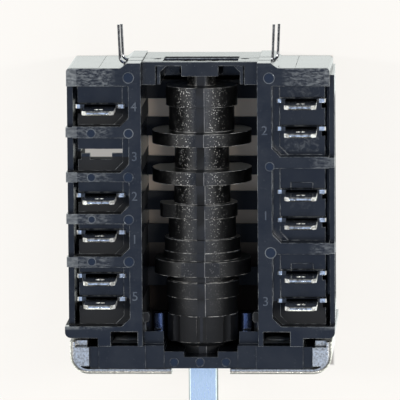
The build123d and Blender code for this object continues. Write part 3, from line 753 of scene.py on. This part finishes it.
# Smooth and dark, so that a wire shows one thin bright line
wire_dark = metal(
    "drawn spring wire, bare", "#4a4a4c", "#8e8e90", roughness=0.16, grain_size=0.6, edge=0.01
)
coat(["front_retaining_wire", "rear_retaining_wire"], wire_dark)

# Dull grey, drawn dark as painted shade, so that it stays quiet in the channel
spring_grey = metal(
    "rolled spring steel, bare", "#4a4947", "#6a6966", roughness=0.4, grain_size=0.9, edge=0.03
)
springs = [f"carrier_spring_{n}" for n in range(1, 7)] + ["left_detent_spring", "right_detent_spring"]
coat(springs, spring_grey)

# Steel drawn dark and bluish: dark as painted shade, and bluish as a painted glint in each front corner of
# the channel
roller_steel = metal("ground steel roller, polished, painted shade and glint", "#3c4660", "#55617c", roughness=0.25, grain_size=0.9)
coat(["left_detent_roller", "right_detent_roller"], roller_steel)


# The terminals and contacts. Tabs stamped from brass and tinned, so their worn edges shine and
# their broad faces mirror the dark wells. Copper strips lie below the carriers, with silver tips.

shoulder_reach = (16.3, 23.9)
shoulder_top = 9.0
shoulder_shade = 0.9


def shaded_shoulders(tree, place):
    """The shoulders' inner parts, painted dark as shade."""
    axes = node(tree, "SeparateXYZ", (place,))
    across = node(tree, "Math", (axes.outputs["X"],), operation="ABSOLUTE")
    inner = region(tree, [(across, *shoulder_reach)])
    low = node(tree, "Math", (axes.outputs["Z"], shoulder_top * mm), operation="LESS_THAN")
    shoulder = node(tree, "Math", (inner, low), operation="MULTIPLY")
    return node(tree, "Math", (shoulder, shoulder_shade), operation="MULTIPLY")


def cut_sides(tree):
    """The sides of the tabs, torn by the punch."""
    axes = node(tree, "SeparateXYZ", (node(tree, "NewGeometry").outputs["Normal"],))
    sideways = node(tree, "Math", (axes.outputs["X"],), operation="ABSOLUTE")
    return node(tree, "MapRange", (sideways, 0.25, 0.4, 0.0, 0.5))


# Bright and smooth, so that each tab seen end on is a white line with dark gaps
tab_tinned = metal(
    "tinned stamped brass, worn bright",
    "#a3a099",
    "#f6f4ee",
    roughness=0.14,
    grain_size=0.7,
    contrast=(0.36, 0.60),
    edge=0.06,
    darkened=shaded_shoulders,
    torn=cut_sides,
)
tabs = [name for name in cad if "_terminal_" in name]
coat(tabs, tab_tinned)

# The stamped edges, which catch the light as a bright outline
tab_chamfer = 0.28
shallowest_edge = math.radians(40)
for name in tabs:
    chamfer = cad[name].modifiers.new("stamped edge", "BEVEL")
    chamfer.width = tab_chamfer * mm
    chamfer.segments = 2
    chamfer.limit_method = "ANGLE"
    chamfer.angle_limit = shallowest_edge

# Orange where light reaches the strips' ends, and a pale dot for each tip
strip_copper = metal(
    "rolled copper strip, bright", "#b06a42", "#e0a67c", roughness=0.25, grain_size=0.9, edge=0.05
)
coat([f"contact_bridge_{n}" for n in range(1, 7)], strip_copper)
tip_silver = metal(
    "silver contact tip, bright", "#cfcdc6", "#efece4", roughness=0.25, grain_size=0.7, edge=0.08
)
coat([name for name in cad if "contact_tips" in name], tip_silver)


# The pale table the switch lies on. Plain and matte. Beyond the switch it shows its lit colour to
# the camera. What shows of it through the switch is painted with the shade that the photo has there.

# The gap keeps it from flickering against the undersides of the banks
table_gap = 0.02
table_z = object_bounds()[0].z - table_gap * mm
bpy.ops.mesh.primitive_plane_add(size=3.0, location=(0, 0, table_z))
table = bpy.context.object
table.name = "table"

# Reaches of the shade in millimetres, and how much of the lit colour is left in it
bank_half = 26.2
bank_share = 0.45
channel_half = 12.1
channel_share = 0.05
channel_dimming_y = (21.0, 38.0)
bridge_y = 61.5
plate_y = -1.5
fade = 0.5

# Painted deep shade, where almost no light comes in, as low X, high X, low Y, high Y in millimetres:
# the two grooves, below the bridge, and below the front flange
deep_shade = [
    (-27.3, -26.2, 2.0, 54.0),
    (22.0, 25.2, 9.0, 60.0),
    (-8.5, 8.5, 54.5, 61.5),
    (-26.0, 23.8, 0.5, 9.5),
]

material, tree, place = new_material("pale table, glowing, with painted shade")
axes = node(tree, "SeparateXYZ", (place,))
along = axes.outputs["Y"]
across = node(tree, "Math", (axes.outputs["X"],), operation="ABSOLUTE")
dark_patches = [
    region(tree, [(axes.outputs["X"], low_x, high_x), (along, low_y, high_y)])
    for low_x, high_x, low_y, high_y in deep_shade
]
shaded = any_of(tree, dark_patches)
open_share = node(tree, "Math", (1.0, shaded), operation="SUBTRACT")

# How much of its lit colour each place shows: all of it beyond the switch, and below the switch a painted
# share, dimmed as shade
outside = node(tree, "MapRange", (across, (bank_half - fade) * mm, bank_half * mm, 0.0, 1.0))
behind = node(tree, "MapRange", (along, bridge_y * mm, (bridge_y + fade) * mm, 0.0, 1.0))
ahead = node(tree, "MapRange", (along, (plate_y - fade) * mm, plate_y * mm, 1.0, 0.0))
beyond = node(tree, "Math", (behind, ahead), operation="MAXIMUM")
outside = node(tree, "Math", (outside, beyond), operation="MAXIMUM")
dim_low, dim_high = channel_dimming_y
rearward = node(tree, "MapRange", (along, dim_low * mm, dim_high * mm, 0.0, 1.0))
channel_lit = node(tree, "Math", (rearward, channel_share), operation="MULTIPLY")
lit = node(tree, "MapRange", (across, (channel_half - fade) * mm, channel_half * mm, channel_lit, bank_share))
lit = node(tree, "Math", (outside, lit), operation="MAXIMUM")
lit = node(tree, "Math", (lit, open_share), operation="MULTIPLY")
path = node(tree, "LightPath")
glossy_ray = path.outputs["Is Glossy Ray"]
seen = node(tree, "Math", (path.outputs["Is Camera Ray"], glossy_ray), operation="MAXIMUM")
share = node(tree, "Math", (seen, lit), operation="MULTIPLY")

# A tenth stays matte, so that the shadow of the switch still falls on the table
glow_share = 0.9
most = node(tree, "Math", (share, glow_share), operation="MULTIPLY")

# Its colour: pale outside; below the switch a painted shade, warm in the channel and lighter toward the rear,
# near black in the deep shade
mottle_size = 3.0
mottle = node(tree, "TexNoise", {"Vector": place, "Scale": 1 / (mottle_size * mm)})
pale = node(tree, "MixRGB", {"Fac": mottle, "Color1": linear("#f4f0ea"), "Color2": linear("#fbf8f3")})
warm = node(tree, "MixRGB", {"Fac": rearward, "Color1": linear("#4a4038"), "Color2": linear("#f6d9ba")})
under = node(tree, "MixRGB", {"Fac": outside, "Color1": warm, "Color2": pale})
under = node(tree, "MixRGB", {"Fac": shaded, "Color1": under, "Color2": linear("#0a0a0a")})
matte = node(tree, "BsdfDiffuse", {"Color": under})

# A painted reflection: mirrored in the plastic and metal it is brighter, like the wide white sweep of a photo
# table
mirrored_strength = 1.85
strength = node(tree, "MapRange", (glossy_ray, 0.0, 1.0, 1.0, mirrored_strength))
tint = node(tree, "MixRGB", {"Fac": glossy_ray, "Color1": linear("#fbf8f3"), "Color2": linear("#f3f9f6")})
glow = node(tree, "Emission", {"Color": tint, "Strength": strength})
finish_material(tree, node(tree, "MixShader", (most, matte, glow)))
table.data.materials.append(material)


# The room. A pale bluish sheet of light overhead, a long soft light low on the left and one
# higher on the right, which draw the two bright streaks along the camshaft, and one in front.

world = bpy.data.worlds.new("pale room")
bpy.context.scene.world = world
world.use_nodes = True
world.node_tree.nodes["Background"].inputs["Color"].default_value = linear("#eef3fb")
world.node_tree.nodes["Background"].inputs["Strength"].default_value = 0.25


def softbox(name, place, aim, size, power, colour="#ffffff"):
    """A soft area light that faces a point. Place, aim and size are in metres, power in watts."""
    data = bpy.data.lights.new(name, "AREA")
    data.shape = "RECTANGLE"
    data.size, data.size_y = size
    data.energy = power
    data.color = linear(colour)[:3]
    box = bpy.data.objects.new(name, data)
    bpy.context.scene.collection.objects.link(box)
    box.location = place
    box.rotation_euler = (Vector(aim) - Vector(place)).to_track_quat("-Z", "Y").to_euler()


middle = (0, 0.03, 0)
softbox("overhead sheet", (0.0, 0.15, 1.6), middle, (2.2, 2.2), 9.3, "#a4c6ff")
softbox("left light", (-0.75, 0.15, 0.65), middle, (0.08, 0.9), 6.0)
softbox("front light", (0.0, -1.2, 0.55), middle, (0.6, 0.1), 6.0)
softbox("right light", (0.57, 0.15, 0.82), middle, (0.08, 0.9), 6.0)


# The camera. A long lens that looks straight down on the terminals, leaning a little to the rear
# end and to the right.

camera_data = bpy.data.cameras.new("camera")
camera = bpy.data.objects.new("camera", camera_data)
bpy.context.scene.collection.objects.link(camera)
bpy.context.scene.camera = camera
camera_data.sensor_width = 36.0
camera_data.lens = 518.5
camera_data.clip_start = 0.01
camera_reach = 1.15
lean_right = math.radians(3.1)
lean_rear = math.radians(7.6)
roll = math.radians(-0.4)
aim = Vector((0.0001, 0.03536, bank_top_z))
back = Vector((math.tan(lean_right), math.tan(lean_rear), 1.0)).normalized()
right = Vector((0, 1, 0)).cross(back).normalized()
up = back.cross(right)
turn = Matrix((right, up, back)).transposed().to_4x4()
stand = Matrix.Translation(aim + back * camera_reach)
camera.matrix_world = stand @ turn @ Matrix.Rotation(roll, 4, "Z")

bpy.context.scene.view_settings.view_transform = "Standard"
